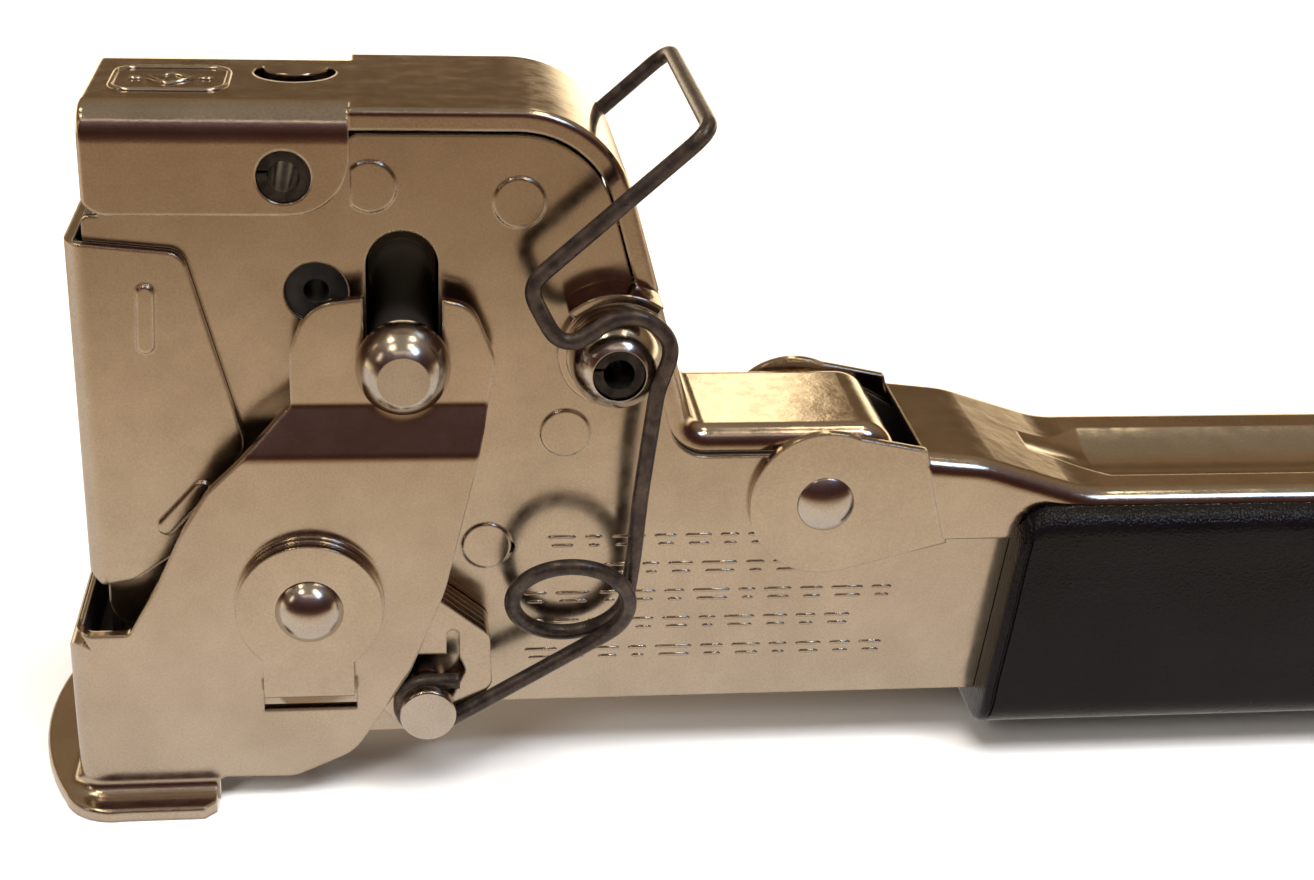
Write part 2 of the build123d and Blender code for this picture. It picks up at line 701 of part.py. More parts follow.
# ---- Every piece by name -----------------------------------------------------------------
near_plate = mirrored(side_plate())
parts["head_channel"] = head_channel()
parts["side_plate_left"] = near_plate
parts["side_plate_right"] = mirrored(near_plate)
parts["cap_pin"] = coiled_pin(CAP_PIN, 3.1, 13.2)
parts["front_cover"] = front_cover()
parts["stop_bumper"] = stop_bumper()
parts["spring_boss_left"] = spring_boss()
parts["spring_boss_right"] = mirrored(spring_boss())
parts["boss_pin"] = coiled_pin(BOSS, 3.1, 19.6)
parts["spring_collar_left"] = spring_collar()
parts["spring_collar_right"] = mirrored(spring_collar())
parts["handle_channel"] = handle_channel()
parts["ear_rivet"] = ear_rivet()
parts["handle_grip"] = handle_grip()
parts["heel_plug"] = heel_plug()
parts["heel_rivets"] = Compound(children=[rod(p, 1.98, -12.0, 12.0) for p in HEEL_RIVETS])
parts["driver_blade"] = driver_blade()
parts["driver_holder"] = driver_holder()
parts["driver_screws"] = Compound(children=driver_screws())
parts["holder_pins"] = Compound(children=[rod(p, 1.48, -12.0, 12.0) for p in HOLDER_PINS])
parts["magazine_hinge_pin"] = rod(HINGE, 2.48, -12.0, 12.0)
parts["nose_jaw"] = nose_jaw()
parts["knob_stud"] = knob_stud()
parts["cross_pin"] = cross_pin()
parts["keyed_washer_right"] = keyed_washer()
parts["keyed_washer_left"] = mirrored(keyed_washer())
for name, limits, notched in (
    ("guide_block", (PLATE_OUT + 0.35, 15.1), False),
    ("latch_plate", (15.15, JAW_IN - 0.1), True),
):
    sheets = latch_plate(*limits, notched)
    parts[name + "_right"] = Compound(children=sheets)
    parts[name + "_left"] = Compound(children=[mirrored(sheet) for sheet in sheets])
parts["spring_pin_right"] = spring_pin()
parts["spring_pin_left"] = mirrored(spring_pin())
parts["nose_guide"] = nose_guide()
parts["return_spring"] = return_spring()
parts["magazine_channel"] = magazine_channel()
parts["staple_rail"] = staple_rail()
parts["staple_strip"] = staple_strip()
follower_body, follower_tab = staple_follower()
parts["staple_follower"] = follower_body
parts["follower_tab"] = follower_tab
parts["follower_spring"] = follower_spring()
parts["magazine_end_block"] = end_block()

for name, shape in parts.items():
    placed = Pos(-MIDDLE_X, 0, 0) * shape
    export_step(placed, f"parts/{name}.step")
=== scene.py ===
"""Looks of the hammer tacker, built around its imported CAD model.

Metres, in the model's own frame: X from the nose back to the heel, Y across, Z up from the sole.
"""

import math

import bmesh
import bpy
from mathutils import Matrix, Vector

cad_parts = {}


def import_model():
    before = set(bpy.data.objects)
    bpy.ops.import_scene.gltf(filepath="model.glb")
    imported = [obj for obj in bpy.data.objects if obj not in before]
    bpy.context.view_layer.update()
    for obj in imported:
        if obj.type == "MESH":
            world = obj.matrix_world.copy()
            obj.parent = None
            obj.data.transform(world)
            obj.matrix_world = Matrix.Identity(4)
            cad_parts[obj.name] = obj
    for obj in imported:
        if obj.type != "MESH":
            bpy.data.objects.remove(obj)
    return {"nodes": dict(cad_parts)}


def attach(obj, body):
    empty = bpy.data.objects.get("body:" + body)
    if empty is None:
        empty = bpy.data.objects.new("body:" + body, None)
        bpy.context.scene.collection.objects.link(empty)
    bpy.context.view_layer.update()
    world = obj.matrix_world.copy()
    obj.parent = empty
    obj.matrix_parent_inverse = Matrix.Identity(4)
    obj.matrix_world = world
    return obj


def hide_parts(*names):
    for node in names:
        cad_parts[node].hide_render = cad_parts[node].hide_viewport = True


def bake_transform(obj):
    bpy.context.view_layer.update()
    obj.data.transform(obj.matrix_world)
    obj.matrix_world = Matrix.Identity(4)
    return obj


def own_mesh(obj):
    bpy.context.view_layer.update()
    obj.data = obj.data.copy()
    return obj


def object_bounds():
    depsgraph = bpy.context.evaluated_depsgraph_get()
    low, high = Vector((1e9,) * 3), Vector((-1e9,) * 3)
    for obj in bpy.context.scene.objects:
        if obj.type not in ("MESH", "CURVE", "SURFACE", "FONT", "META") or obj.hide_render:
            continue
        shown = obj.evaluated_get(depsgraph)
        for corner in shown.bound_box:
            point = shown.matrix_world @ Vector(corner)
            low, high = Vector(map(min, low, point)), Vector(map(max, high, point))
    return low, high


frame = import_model()
cad_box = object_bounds()
nodes = frame["nodes"]

MM = 0.001
MIDDLE_X = 147.2  # the model's origin, measured from the nose in the design's millimetres
PLATE_SIDE = 12.0  # how far out the side plates' outer faces lie
ROOF_Z = 87.7  # top of the head
MAGAZINE_TILT = math.radians(6.5)  # rising towards the heel


def at(x, y, z):
    """A spot given in the design's millimetres, as a point in the model's frame."""
    return Vector(((x - MIDDLE_X) * MM, y * MM, z * MM))


# ---- Materials ---------------------------------------------------------------------------


class Shader:
    """A node tree with one principled shader, and short ways to add nodes to it."""

    def __init__(self, name):
        self.material = bpy.data.materials.new(name)
        self.material.use_nodes = True
        self.tree = self.material.node_tree
        self.surface = self.tree.nodes["Principled BSDF"]
        self.place = self.add("ShaderNodeTexCoord").outputs["Object"]

    def add(self, kind, **settings):
        node = self.tree.nodes.new(kind)
        for key, value in settings.items():
            if key in node.inputs:
                node.inputs[key].default_value = value
            else:
                setattr(node, key, value)
        return node

    def link(self, source, target):
        self.tree.links.new(source, target)

    def stretched(self, scale):
        mapping = self.add("ShaderNodeMapping")
        mapping.inputs["Scale"].default_value = scale
        self.link(self.place, mapping.inputs["Vector"])
        return mapping.outputs["Vector"]

    def noise(self, size_mm, detail=3.0, stretch=(1, 1, 1), roughness=0.55):
        """Cloudy pattern whose blotches are about size_mm across."""
        node = self.add("ShaderNodeTexNoise", Detail=detail, Roughness=roughness)
        node.inputs["Scale"].default_value = 1 / (size_mm * MM)
        self.link(self.stretched(stretch), node.inputs["Vector"])
        return node.outputs["Fac"]

    def ramp(self, source, stops):
        """Colour ramp; stops are (position, colour)."""
        node = self.add("ShaderNodeValToRGB")
        elements = node.color_ramp.elements
        while len(elements) < len(stops):
            elements.new(0.5)
        for element, (position, colour) in zip(elements, stops):
            element.position = position
            element.color = (*colour, 1)
        self.link(source, node.inputs["Fac"])
        return node.outputs["Color"]

    def spread(self, source, low, high, from_low=0.3, from_high=0.7):
        """The pattern's usual range turned into low to high."""
        node = self.add("ShaderNodeMapRange")
        node.inputs["From Min"].default_value = from_low
        node.inputs["From Max"].default_value = from_high
        node.inputs["To Min"].default_value = low
        node.inputs["To Max"].default_value = high
        self.link(source, node.inputs["Value"])
        return node.outputs["Result"]

    def mixed(self, share, first, second):
        """Colour going from first to second; either may be a pattern or one colour."""
        node = self.add("ShaderNodeMix", data_type="RGBA")
        self.link(share, node.inputs["Factor"])
        for socket, colour in zip((node.inputs[6], node.inputs[7]), (first, second)):
            if isinstance(colour, tuple):
                socket.default_value = (*colour, 1)
            else:
                self.link(colour, socket)
        return node.outputs[2]

    def within(self, half_mm, from_x_mm):
        """1 inside a hollow this wide and behind this x (design millimetres), 0 outside."""
        split = self.add("ShaderNodeSeparateXYZ")
        self.link(self.place, split.inputs[0])
        across = self.add("ShaderNodeMath", operation="ABSOLUTE")
        self.link(split.outputs["Y"], across.inputs[0])
        inner = self.spread(across.outputs[0], 1, 0, (half_mm - 0.2) * MM, half_mm * MM)
        edge = (from_x_mm - MIDDLE_X) * MM
        behind = self.spread(split.outputs["X"], 0, 1, edge - 0.2 * MM, edge)
        both = self.add("ShaderNodeMath", operation="MULTIPLY")
        self.link(inner, both.inputs[0])
        self.link(behind, both.inputs[1])
        return both.outputs[0]

    def relief(self, layers, edge_mm=0.0):
        """Rounded edges and then bumps; layers are (pattern, height in mm)."""
        normal = None
        if edge_mm:
            edge = self.add("ShaderNodeBevel", samples=6)
            edge.inputs["Radius"].default_value = edge_mm * MM
            normal = edge.outputs["Normal"]
        for pattern, height in layers:
            bump = self.add("ShaderNodeBump")
            bump.inputs["Distance"].default_value = height * MM
            self.link(pattern, bump.inputs["Height"])
            if normal is not None:
                self.link(normal, bump.inputs["Normal"])
            normal = bump.outputs["Normal"]
        self.link(normal, self.surface.inputs["Normal"])


def plated(name, colour, shade, rough, edge_mm=0.28, ripple=0.024, grain=0.0016, dark=None):
    """Nickel plate: cloudy tint, uneven gloss, faint ripple from the press, fine grain.

    dark is (half width in mm, x in mm): deeper inside than both, the colour goes near black and
    the metal dull; on the sheets, cover and jaw this is painted shade in their hollows, on the
    stud it darkens its shaft.
    """
    look = Shader(name)
    tint = look.ramp(look.noise(9, 4), [(0.32, shade), (0.68, colour)])
    speck = look.spread(look.noise(0.28, 3), 0.86, 1.0)
    tint = look.mixed(speck, (0.03, 0.02, 0.015), tint)
    if dark:
        # Painted shade on the sheets, cover and jaw: the colour goes near black inside their
        # hollows.
        tint = look.mixed(look.within(*dark), tint, (0.012, 0.009, 0.008))
    look.link(tint, look.surface.inputs["Base Color"])
    gloss = look.spread(look.noise(2.2, 5), rough[0], rough[1])
    if dark:
        # Same painted-shade region: metallic off, roughness raised towards dull.
        darkened_share = look.spread(look.within(*dark), 1, 0, 0, 1)
        look.link(darkened_share, look.surface.inputs["Metallic"])
        dull = look.add("ShaderNodeMix", data_type="FLOAT")
        look.link(darkened_share, dull.inputs["Factor"])
        dull.inputs["A"].default_value = 0.75
        look.link(gloss, dull.inputs["B"])
        gloss = dull.outputs["Result"]
    else:
        look.surface.inputs["Metallic"].default_value = 1.0
    look.link(gloss, look.surface.inputs["Roughness"])
    look.relief([(look.noise(6, 2), ripple), (look.noise(0.5, 3), grain)], edge_mm)
    return look.material


def blackened(name, colour, shade, rough, grain=0.004):
    """Black oxide on steel wire and pins."""
    look = Shader(name)
    look.link(
        look.ramp(look.noise(1.6, 5), [(0.35, shade), (0.7, colour)]),
        look.surface.inputs["Base Color"],
    )
    look.surface.inputs["Metallic"].default_value = 0.75
    look.link(look.spread(look.noise(0.9, 4), *rough), look.surface.inputs["Roughness"])
    look.relief([(look.noise(0.3, 3), grain)], 0.12)
    return look.material


def vinyl(name):
    """Soft black grip with a fine pebbled skin."""
    look = Shader(name)
    tint = [(0.3, (0.0026, 0.0021, 0.0025)), (0.7, (0.0045, 0.0037, 0.0042))]
    look.link(look.ramp(look.noise(14, 4), tint), look.surface.inputs["Base Color"])
    look.surface.inputs["Specular IOR Level"].default_value = 0.20
    look.link(look.spread(look.noise(1.5, 4), 0.18, 0.28), look.surface.inputs["Roughness"])
    pebbles = look.add("ShaderNodeTexVoronoi", Randomness=1.0)
    pebbles.inputs["Scale"].default_value = 1 / (0.34 * MM)
    look.link(look.place, pebbles.inputs["Vector"])
    look.relief([(pebbles.outputs["Distance"], 0.07), (look.noise(3.5, 3), 0.02)])
    return look.material


def rubber(name):
    look = Shader(name)
    look.link(
        look.ramp(look.noise(2, 4), [(0.3, (0.006, 0.005, 0.005)), (0.7, (0.016, 0.014, 0.013))]),
        look.surface.inputs["Base Color"],
    )
    look.link(look.spread(look.noise(0.8, 4), 0.35, 0.55), look.surface.inputs["Roughness"])
    look.relief([(look.noise(0.3, 3), 0.006)], 0.15)
    return look.material


def hardened(name):
    """Ground hard steel with fine lengthwise grinding lines."""
    look = Shader(name)
    lines = look.noise(1.2, 4, stretch=(1, 1, 0.05))
    look.link(
        look.ramp(lines, [(0.3, (0.20, 0.185, 0.17)), (0.7, (0.36, 0.34, 0.32))]),
        look.surface.inputs["Base Color"],
    )
    look.surface.inputs["Metallic"].default_value = 1.0
    look.link(look.spread(lines, 0.25, 0.42), look.surface.inputs["Roughness"])
    look.relief([(lines, 0.004)], 0.12)
    return look.material


WARM, WARM_SHADE = (0.640, 0.545, 0.430), (0.560, 0.470, 0.365)
# dark= on these three paints shade into the hollows inside the head.
SHEET = plated("nickel_sheet", WARM, WARM_SHADE, (0.15, 0.25), 0.42, dark=(11.5, 0))
COVER = plated("nickel_cover", WARM, WARM_SHADE, (0.15, 0.25), 0.55, dark=(12.4, 13.0))
JAW = plated("nickel_jaw", WARM, WARM_SHADE, (0.13, 0.23), 0.6, dark=(15.2, 11.0))
FOLDED = plated("nickel_folded", WARM, WARM_SHADE, (0.13, 0.22), 0.3)
HAMMERED = plated("nickel_hammered", WARM, WARM_SHADE, (0.10, 0.19), 0.5, ripple=0.05, grain=0.008)
STEEL, STEEL_SHADE = (0.66, 0.60, 0.52), (0.55, 0.49, 0.42)
TURNED = plated("turned_steel", STEEL, STEEL_SHADE, (0.15, 0.24), 0.2)
STUD = plated("stud_steel", STEEL, STEEL_SHADE, (0.16, 0.24), 0.2, dark=(17.1, 0))
OXIDE = blackened("black_oxide", (0.050, 0.041, 0.035), (0.014, 0.012, 0.011), (0.12, 0.22))
WIRE = blackened("spring_wire", (0.105, 0.080, 0.064), (0.040, 0.031, 0.029), (0.24, 0.38))
GRIP = vinyl("black_vinyl")
BUFFER = rubber("black_rubber")
HARD = hardened("hard_steel")
# Painted shade: the nose guide and driver holder inside the head are made near black to stand for
# the shade they sit in.
INSIDE_SHADE = rubber("black_painted_shade")

FINISHES = [
    (SHEET, ["side_plate_left", "side_plate_right", "latch_plate_left", "latch_plate_right",
             "guide_block_left", "guide_block_right"]),
    (COVER, ["front_cover"]),
    (JAW, ["nose_jaw"]),
    (FOLDED, ["keyed_washer_left", "keyed_washer_right", "magazine_channel",
              "magazine_end_block"]),
    (HAMMERED, ["head_channel", "handle_channel", "spring_collar_left", "spring_collar_right"]),
    (STUD, ["knob_stud"]),
    (TURNED, ["cross_pin", "spring_boss_left", "spring_boss_right", "ear_rivet",
              "spring_pin_left", "spring_pin_right", "heel_rivets", "holder_pins",
              "magazine_hinge_pin"]),
    (OXIDE, ["cap_pin", "boss_pin", "driver_screws"]),
    (WIRE, ["return_spring", "follower_spring"]),
    (BUFFER, ["stop_bumper", "heel_plug"]),
    (GRIP, ["handle_grip"]),
    (INSIDE_SHADE, ["nose_guide", "driver_holder"]),
    (HARD, ["driver_blade", "staple_rail", "staple_strip", "staple_follower", "follower_tab"]),
]


def finish_with(piece, material):
    piece.data.materials.clear()
    piece.data.materials.append(material)


for material, names in FINISHES:
    for name in names:
        finish_with(nodes[name], material)

# ---- Making meshes -----------------------------------------------------------------------


def new_piece(name, mesh, material, body):
    piece = bpy.data.objects.new(name, mesh)
    bpy.context.scene.collection.objects.link(piece)
    mesh.materials.append(material)
    if body:
        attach(piece, body)
    return piece


def mesh_of(name, points, faces, smooth=True):
    mesh = bpy.data.meshes.new(name)
    mesh.from_pydata(points, [], faces)
    mesh.polygons.foreach_set("use_smooth", [smooth] * len(mesh.polygons))
    mesh.update()
    return mesh


def rounded_path(points, radii, step):
    """Points along straight runs joined by arcs of the given radii, step apart on the arcs."""
    path = [points[0]]
    for before, spot, after, radius in zip(points, points[1:], points[2:], radii):
        back, on = (before - spot).normalized(), (after - spot).normalized()
        half = back.angle(on) / 2
        reach = radius / math.tan(half)
        centre = spot + (back + on).normalized() * (radius / math.sin(half))
        start, end = spot + back * reach - centre, spot + on * reach - centre
        turn = start.angle(end)
        count = max(3, math.ceil(radius * turn / step))
        for i in range(count + 1):
            share = i / count
            swung = start * math.sin((1 - share) * turn) + end * math.sin(share * turn)
            path.append(centre + swung / math.sin(turn))
    path.append(points[-1])
    return path


def tube_mesh(name, path, radius, sides=20):
    """Round wire with flat-capped ends along the path, its rings carried without twist."""
    points, faces = [], []
    tangents = [
        (path[min(i + 1, len(path) - 1)] - path[max(i - 1, 0)]).normalized()
        for i in range(len(path))
    ]
    across = tangents[0].orthogonal().normalized()
    for i, (spot, tangent) in enumerate(zip(path, tangents)):
        across = (across - tangent * across.dot(tangent)).normalized()
        other = tangent.cross(across)
        for k in range(sides):
            angle = 2 * math.pi * k / sides
            points.append(spot + (across * math.cos(angle) + other * math.sin(angle)) * radius)
        if i:
            row, last = i * sides, (i - 1) * sides
            for k in range(sides):
                n = (k + 1) % sides
                faces.append((last + k, last + n, row + n, row + k))
    for end, flip in ((0, True), (len(path) - 1, False)):
        ring = [end * sides + k for k in range(sides)]
        faces.append(tuple(reversed(ring)) if flip else tuple(ring))
    return mesh_of(name, points, faces)


# ---- Springs -------------------------------------------------------------------------------

COIL_CENTRE = at(71.0, -18.4, 26.4)
COIL_RADIUS = 7.3 * MM
COIL_LEAN = math.radians(24)
WIRE_DIAMETER = 2.0 * MM


def coil_spot(turn, advance):
    """A spot on the coil: turn in radians from the rear, and how far along the coil's axis."""
    flat = Vector((math.cos(turn) * COIL_RADIUS, advance, math.sin(turn) * COIL_RADIUS))
    return COIL_CENTRE + Matrix.Rotation(COIL_LEAN, 3, "X") @ flat


def spring_path():
    """Half of the spring, near side: hook on the nose, coil, arm over the boss, to the bail."""
    hook = [
        at(57.2, -19.5, 16.0),
        at(49.8, -19.5, 16.0),
        at(49.8, -19.5, 9.4),
        at(54.0, -19.5, 9.2),
        coil_spot(math.radians(-76), -1.15 * MM) - Vector((0.5, 0, 0.5)) * MM,
    ]
    path = rounded_path(hook, [3.2 * MM, 3.2 * MM, 3.6 * MM], 0.5 * MM)[:-1]
    first, last, steps = math.radians(-58), math.radians(352), 96
    for i in range(steps + 1):
        share = i / steps
        path.append(coil_spot(first + (last - first) * share, (-1.15 + 2.3 * share) * MM))
    arm = [
        path[-1],
        at(78.7, -18.2, 32.0),
        at(79.2, -19.5, 42.0),
        at(80.6, -19.5, 55.0),
        at(82.6, -19.5, 61.2),
        at(77.6, -19.5, 66.2),
        at(69.2, -19.5, 60.2),
        at(64.9, -19.5, 68.4),
        at(85.6, -19.5, 87.2),
        at(85.6, 0, 87.2),
    ]
    bends = [20.0, 30.0, 8.0, 3.6, 5.0, 2.6, 2.6, 2.4]
    path += rounded_path(arm, [r * MM for r in bends], 0.5 * MM)[1:]
    return path


def evened(path, step):
    """The same line with spots an even step apart and small kinks worn away."""
    lengths = [0.0]
    for before, after in zip(path, path[1:]):
        lengths.append(lengths[-1] + (after - before).length)
    count = math.ceil(lengths[-1] / step)
    spots, k = [], 0
    for i in range(count + 1):
        along = lengths[-1] * i / count
        while k < len(path) - 2 and lengths[k + 1] < along:
            k += 1
        share = (along - lengths[k]) / max(lengths[k + 1] - lengths[k], 1e-9)
        spots.append(path[k].lerp(path[k + 1], min(share, 1.0)))
    for _ in range(6):
        worn = [
            before.lerp(after, 0.5).lerp(spot, 0.5)
            for before, spot, after in zip(spots, spots[1:], spots[2:])
        ]
        spots = [spots[0], *worn, spots[-1]]
    return spots


def return_spring():
    near = evened(spring_path(), 0.45 * MM)
    far = [Vector((p.x, -p.y, p.z)) for p in reversed(near[:-1])]
    mesh = tube_mesh("spring_wire", near + far, WIRE_DIAMETER / 2)
    piece = new_piece("spring_wire", mesh, WIRE, None)
    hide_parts("return_spring")
    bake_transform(piece)
    return piece


return_spring()


def follower_spring():
    """Light coil along the rail, riding with the magazine."""
    run, rise = math.cos(MAGAZINE_TILT), math.sin(MAGAZINE_TILT)
    along, up = Vector((run, 0, rise)), Vector((-rise, 0, run))
    start, end, turns, steps = 64.5 * MM, 169.0 * MM, 34, 14
    base = at(16.0, 0, 0.8) + up * (10.4 * MM)
    path = []
    for i in range(turns * steps + 1):
        share = i / (turns * steps)
        angle = 2 * math.pi * turns * share
        swing = Vector((0, 1, 0)) * math.cos(angle) + up * math.sin(angle)
        path.append(base + along * (start + (end - start) * share) + swing * (1.5 * MM))
    mesh = tube_mesh("follower_coil", path, 0.28 * MM, 8)
    piece = new_piece("follower_coil", mesh, HARD, "magazine")
    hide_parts("follower_spring")
    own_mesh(piece)
    return piece


follower_spring()

# ---- Grip ------------------------------------------------------------------------------------

GRIP_START_X = 125.8
EDGE, HEEL_EDGE = 3.0, 4.4  # radii along the grip's top and bottom


def grip_outline(bottom, shrink, along):
    """Half of the grip's outside seen end on, from the lip beside the handle to the middle."""
    nearness = max(0.0, 4.0 - along)
    half, top = 17.2 - shrink, 36.4 - 0.3 * shrink - (4.0 - math.sqrt(16.0 - nearness * nearness))
    points = [(13.9, top - 0.5), (14.3, top)]
    for i in range(9):
        turn = math.radians(90 - i * 90 / 8)
        points.append((half - EDGE + EDGE * math.cos(turn), top - EDGE + EDGE * math.sin(turn)))
    for i in range(1, 8):
        share = i / 8
        swell = 0.35 * math.sin(math.pi * share)
        drop = (bottom + HEEL_EDGE - top + EDGE) * share
        points.append((half + swell - 0.35, top - EDGE + drop))
    for i in range(9):
        turn = math.radians(-i * 90 / 8)
        y = half - HEEL_EDGE + HEEL_EDGE * math.cos(turn)
        points.append((y, bottom + shrink + HEEL_EDGE + HEEL_EDGE * math.sin(turn)))
    points += [(8.0, bottom + shrink), (0.0, bottom + shrink)]
    return points


def grip_bottom(x):
    """Height of the grip's underside: it drops to a finger stop at the heel."""
    share = min(max((x - 256.0) / 18.0, 0.0), 1.0)
    return 4.5 * (1 - share * share * (3 - 2 * share))


def handle_grip():
    """Moulded sleeve: a slanted front end with a rolled lip, crowned sides and a heel stop."""
    rolled = [(0.0, 1.0), (0.1, 0.6), (0.3, 0.25), (0.6, 0.05), (0.9, 0.0), (1.05, 0.3),
              (1.2, 0.35), (1.35, 0.3), (1.5, 0.0), (1.9, 0.0), (2.4, 0.0), (3.0, 0.0)]
    stations = rolled + [(4.0 + i * 4.0, 0.0) for i in range(38)]
    stations += [(157.2, 0.0), (159.6, 0.5), (161.0, 1.4), (161.9, 2.8), (162.2, 4.2)]
    wall = [(13.9, 31.8), (12.2, 31.5), (12.2, 20.0), (12.2, 8.7), (6.0, 8.6), (0.0, 8.6)]
    closed = [(13.9, 31.8), (13.0, 31.8), (12.0, 31.8), (10.0, 31.8), (5.0, 31.8), (0.0, 31.8)]
    rings = []
    for along, shrink in stations:
        x = GRIP_START_X + along
        half = grip_outline(grip_bottom(x), shrink, along)
        hollow = wall if along < 162.0 else closed
        loop = half + [(-y, z) for y, z in reversed(half[:-1])]
        back = hollow + [(-y, z) for y, z in reversed(hollow[:-1])]
        loop += [(-y, z) for y, z in back]
        slant = 3.6 * max(0.0, 1 - along / 40)
        rings.append([at(x + slant * (z - 4.5) / 31.9, y, z) for y, z in loop])
    count = len(rings[0])
    points = [spot for ring in rings for spot in ring]
    faces = []
    for i in range(1, len(rings)):
        for k in range(count):
            n = (k + 1) % count
            faces.append(((i - 1) * count + k, (i - 1) * count + n, i * count + n, i * count + k))
    outer = 2 * len(half) - 1
    for k in range(outer - 1):
        inner = count - 1 - round(k * (count - outer - 1) / (outer - 1))
        following = count - 1 - round((k + 1) * (count - outer - 1) / (outer - 1))
        face = [k, inner, following, k + 1] if inner != following else [k, inner, k + 1]
        faces.append(tuple(face))
    last = (len(rings) - 1) * count
    faces.append(tuple(last + k for k in range(count)))
    mesh = mesh_of("vinyl_grip", points, faces)
    shape = bmesh.new()
    shape.from_mesh(mesh)
    bmesh.ops.recalc_face_normals(shape, faces=shape.faces)
    for edge in shape.edges:
        edge.smooth = len(edge.link_faces) == 2 and edge.calc_face_angle() < math.radians(34)
    shape.to_mesh(mesh)
    shape.free()
    piece = new_piece("vinyl_grip", mesh, GRIP, "frame")
    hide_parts("handle_grip")
    return piece


handle_grip()

# ---- Generic marks ---------------------------------------------------------------------------


def ridge_mesh(name, strokes, place_of, width, height):
    """Pressed marks: every stroke is a run of flat spots, drawn as a low rounded ridge."""
    points, faces = [], []
    profile = [
        (-1.0, -0.5), (-0.8, 0.35), (-0.4, 0.9), (0.0, 1.0), (0.4, 0.9), (0.8, 0.35), (1.0, -0.5),
    ]
    for stroke in strokes:
        spots = [Vector(spot) for spot in stroke]
        closed = (spots[0] - spots[-1]).length < 1e-6
        start = len(points)
        final = len(spots) - 1
        for i, spot in enumerate(spots):
            ahead = spots[1] if closed and i == final else spots[min(i + 1, final)]
            behind = spots[-2] if closed and i == 0 else spots[max(i - 1, 0)]
            run = (ahead - behind).normalized()
            side = Vector((-run.y, run.x))
            taper = 1.0 if closed or 0 < i < final else 0.35
            for across, up in profile:
                flat = spot + side * (across * width / 2 * taper)
                points.append(place_of(flat.x, flat.y, up * height * taper))
        size = len(profile)
        for i in range(1, len(spots)):
            for k in range(size - 1):
                a, b = start + (i - 1) * size + k, start + i * size + k
                faces.append((a, a + 1, b + 1, b))
            faces.append((start + i * size - 1, start + (i - 1) * size, start + i * size,
                          start + (i + 1) * size - 1))
        if not closed:
            faces.append(tuple(start + k for k in reversed(range(size))))
            faces.append(tuple(start + final * size + k for k in range(size)))
    mesh = mesh_of(name, points, faces)
    shape = bmesh.new()
    shape.from_mesh(mesh)
    bmesh.ops.recalc_face_normals(shape, faces=shape.faces)
    shape.to_mesh(mesh)
    shape.free()
    return mesh


def bar(x, z, length, lean=0.0):
    return [(x, z), (x + 0.3, z + 0.3 * lean), (x + length - 0.3, z + (length - 0.3) * lean),
            (x + length, z + length * lean)]


def stamped_rows():
    """Five rows of plain short bars, where a tool carries its stamped notes."""
    rows = [
        (31.6, 68.5, [3.6, 2.2, 4.4, 2.8, 3.4, 2.4, 3.0]),
        (27.6, 72.0, [2.6, 3.8, 2.2, 3.2, 4.6, 2.4, 3.4, 2.8]),
        (23.6, 65.5, [3.0, 4.4, 2.4, 3.8, 2.6, 4.8, 2.2, 3.6, 3.0, 4.2, 2.6]),
        (19.6, 65.8, [2.4, 3.4, 4.6, 2.8, 3.6, 2.2, 4.0, 3.2, 2.6, 3.4]),
        (15.4, 65.8, [4.2, 2.6, 3.2, 2.4, 4.8, 3.0, 3.8, 2.4, 3.4, 2.8, 3.0]),
    ]
    strokes = []
    for height, x, lengths in rows:
        for length in lengths:
            strokes.append(bar(x, height + 0.55, length))
            strokes.append(bar(x + 0.5, height - 0.65, length - 0.8))
            x += length + 1.15
    def on_plate(x, z, up):
        return at(x, -PLATE_SIDE - up, z)

    mesh = ridge_mesh("stamped_rows", strokes, on_plate, 0.58, 0.17)
    return new_piece("stamped_rows", mesh, FOLDED, "frame")


def roof_emblem():
    """A plain badge pressed into the roof: a rounded frame with a diamond and two bars."""
    middle_x, middle_y = 23.8, -0.6
    frame_line = []
    half_x, half_y, corner = 6.6, 5.4, 2.6
    for cx, cy, start in ((1, 1, 0), (-1, 1, 90), (-1, -1, 180), (1, -1, 270)):
        for i in range(9):
            turn = math.radians(start + i * 90 / 8)
            frame_line.append((middle_x + cx * (half_x - corner) + corner * math.cos(turn),
                               middle_y + cy * (half_y - corner) + corner * math.sin(turn)))
    frame_line.append(frame_line[0])
    tips = ((1, 0), (0, 1), (-1, 0), (0, -1), (1, 0))
    diamond = [(middle_x + 2.4 * a, middle_y + 2.6 * b) for a, b in tips]
    strokes = [frame_line, diamond, bar(18.9, middle_y, 1.6), bar(27.1, middle_y, 1.6)]

    def on_roof(x, y, up):
        return at(x, y, ROOF_Z + up)

    mesh = ridge_mesh("roof_badge", strokes, on_roof, 0.95, 0.34)
    return new_piece("roof_badge", mesh, FOLDED, "frame")


stamped_rows()
roof_emblem()

# ---- Camera, floor and light ---------------------------------------------------------------


def camera():
    data = bpy.data.cameras.new("camera")
    data.lens, data.sensor_width = 56.108, 36.0
    data.clip_start, data.clip_end = 0.01, 20.0
    eye = bpy.data.objects.new("camera", data)
    yaw, pitch, roll = (math.radians(a) for a in (7.802, 23.899, 2.491))
    turn = Matrix.Rotation(-yaw, 4, "Z") @ Matrix.Rotation(math.radians(90) - pitch, 4, "X")
    eye.matrix_world = (
        Matrix.Translation((-0.09698, -0.24319, 0.14885)) @ turn @ Matrix.Rotation(roll, 4, "Z")
    )
    bpy.context.scene.collection.objects.link(eye)
    bpy.context.scene.camera = eye


